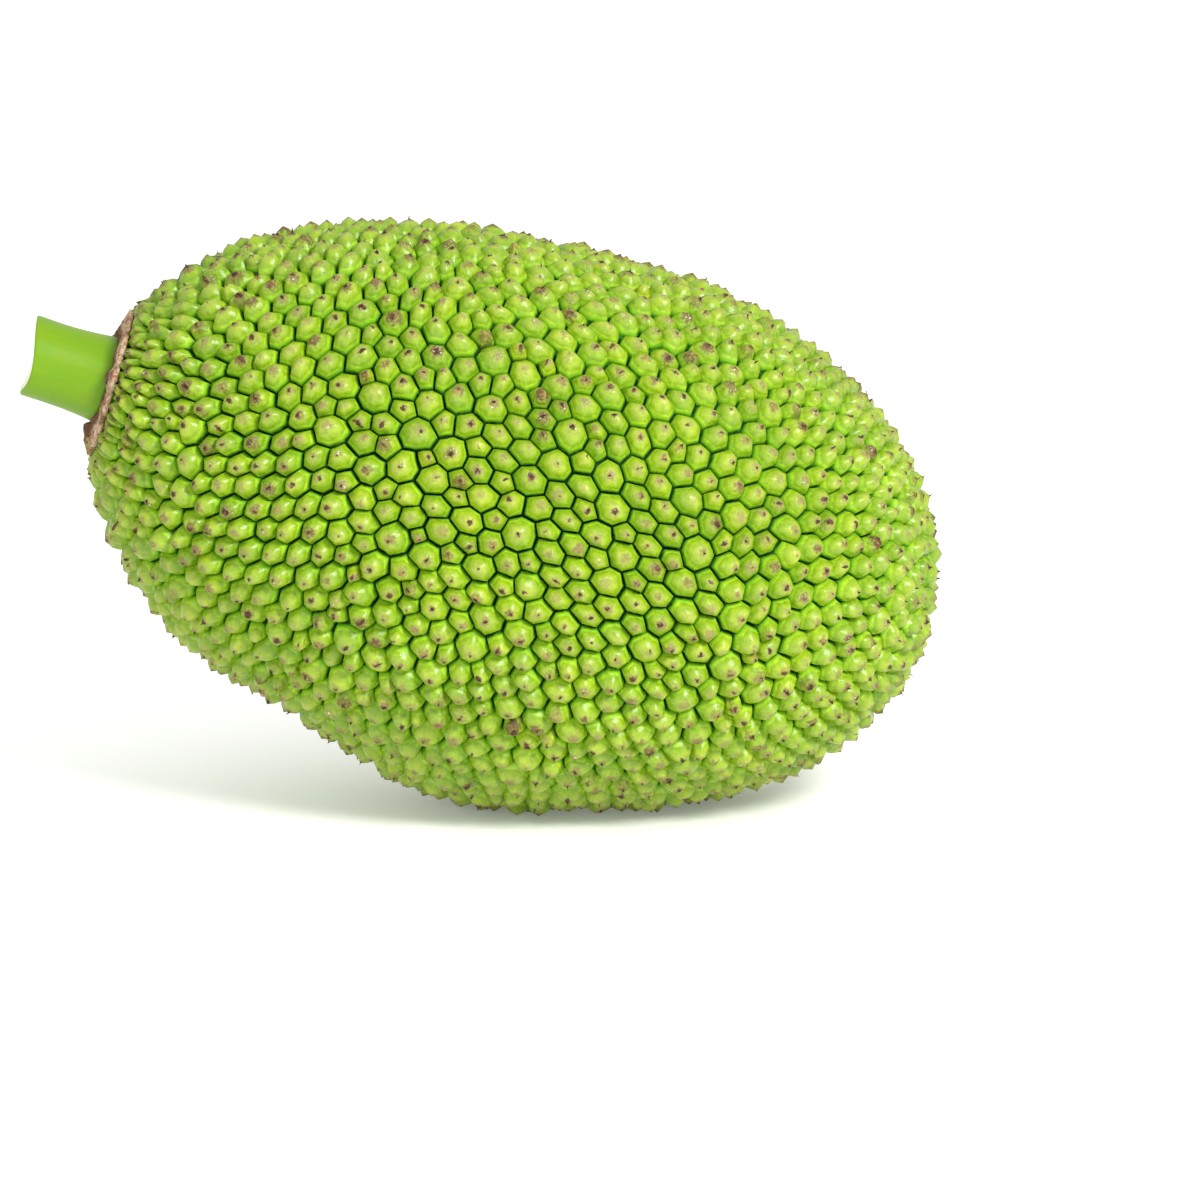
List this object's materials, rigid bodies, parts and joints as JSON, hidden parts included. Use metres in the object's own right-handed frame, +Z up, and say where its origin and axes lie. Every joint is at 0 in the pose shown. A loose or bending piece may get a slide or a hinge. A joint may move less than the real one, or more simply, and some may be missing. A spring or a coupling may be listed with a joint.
{
  "type": "jackfruit",
  "caption": "Whole young green jackfruit lying on its side, its rind set with blunt many-sided tubercles, with a short cut stalk and a corky collar round it.",
  "frame": {"origin": "middle of the bounding box in X and Y, on the surface that the fruit lies on", "axes": "+X along the fruit towards its blossom end, with the stalk at -X; +Z up"},
  "size_m": [0.3678, 0.2178, 0.2387],
  "materials": {
    "rind": "waxy green rind, satin",
    "cork": "dry corky skin, matt",
    "stalk_skin": "smooth green skin, satin"
  },
  "bodies": {
    "root": {"fruit": "rind", "stalk_collar": "cork", "stalk": "stalk_skin"}
  },
  "joints": []
}
